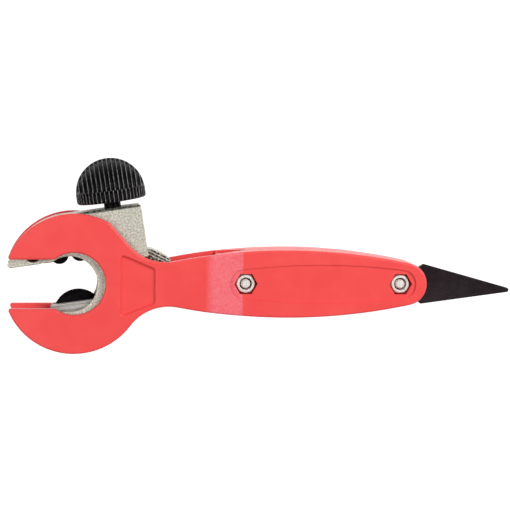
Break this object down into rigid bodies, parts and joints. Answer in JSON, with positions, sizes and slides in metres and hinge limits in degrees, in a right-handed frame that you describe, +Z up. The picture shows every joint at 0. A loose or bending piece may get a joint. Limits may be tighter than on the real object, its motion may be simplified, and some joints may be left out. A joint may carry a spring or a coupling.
{
  "type": "ratcheting pipe cutter",
  "caption": "Ratcheting pipe cutter: C-shaped head turning in a two-shell red handle, with a cutter wheel on a screw-fed carriage, rollers, feed knob and fold-out reamer blade.",
  "frame": {"origin": "centre of the bounding box's lower face, with the tool lying flat, rear shell down", "axes": "+X along the handle from the head to the reamer's tip, +Y towards the feed knob's side, +Z up through the thickness, out of the front shell with the nuts"},
  "size_m": [0.1946, 0.0738, 0.0264],
  "materials": {
    "red_plastic": "glossy, moulded",
    "cast_metal": "fine-grained casting, satin",
    "black_plastic": "satin, ribbed",
    "black_steel": "blackened",
    "bright_steel": "zinc plated"
  },
  "bodies": {
    "handle": {"front_shell": "red_plastic", "rear_shell": "red_plastic", "front_bolt": "bright_steel", "rear_bolt": "bright_steel", "front_nut": "bright_steel", "rear_nut": "bright_steel", "reamer_washer_front": "bright_steel", "reamer_washer_rear": "bright_steel", "pawl_guide_pin": "bright_steel", "pawl_spring": "bright_steel"},
    "pawl": {"ratchet_pawl": "cast_metal"},
    "reamer": {"reamer_blade": "black_steel"},
    "head": {"head_casting": "cast_metal", "head_cover": "cast_metal", "cover_screw_1": "black_steel", "cover_screw_2": "black_steel", "cover_screw_3": "black_steel", "cover_dowel": "bright_steel", "thrust_washer": "bright_steel", "roller_pin_left": "bright_steel", "roller_pin_right": "bright_steel"},
    "carriage": {"cutter_carriage": "bright_steel", "wheel_axle": "bright_steel"},
    "wheel": {"cutter_wheel": "black_steel"},
    "feed": {"feed_screw": "black_steel", "feed_knob": "black_plastic"},
    "left_roller": {"roller_left": "black_steel"},
    "right_roller": {"roller_right": "black_steel"}
  },
  "joints": [
    {"name": "head_swing", "type": "hinge", "parent": "handle", "child": "head", "pos_m": [-0.07236, -0.01039, 0.0132], "axis": [0, 0, 1], "range_deg": [0, 100]},
    {"name": "feed_turn", "type": "hinge", "parent": "head", "child": "feed", "pos_m": [-0.05395, -0.0077, 0.0132], "axis": [0.1444, -0.9895, 0], "range_deg": [-1116, 3456]},
    {"name": "carriage_slide", "type": "slide", "parent": "head", "child": "carriage", "axis": [-0.1444, 0.9895, 0], "range_m": [-0.003, 0.0095]},
    {"name": "wheel_spin", "type": "hinge", "parent": "carriage", "child": "wheel", "pos_m": [-0.07057, -0.02266, 0.0132], "axis": [0, 0, 1], "continuous": true},
    {"name": "left_roller_spin", "type": "hinge", "parent": "head", "child": "left_roller", "pos_m": [-0.07788, 0.00012, 0.0132], "axis": [0, 0, 1], "continuous": true},
    {"name": "right_roller_spin", "type": "hinge", "parent": "head", "child": "right_roller", "pos_m": [-0.07007, 0.00127, 0.0132], "axis": [0, 0, 1], "continuous": true},
    {"name": "pawl_slide", "type": "slide", "parent": "handle", "child": "pawl", "axis": [-1, 0, 0], "range_m": [0, 0.0009], "stiffness_N_per_m": 400, "springref_m": 0.0009, "deforming": ["pawl_spring"]},
    {"name": "reamer_fold", "type": "hinge", "parent": "handle", "child": "reamer", "pos_m": [0.05284, -0.01039, 0.0132], "axis": [0, 0, 1], "range_deg": [-176.1, 0]}
  ],
  "couplings": [
    {"joint": "feed_turn", "follows": "carriage_slide", "rad_per_m": 6283.2}
  ]
}
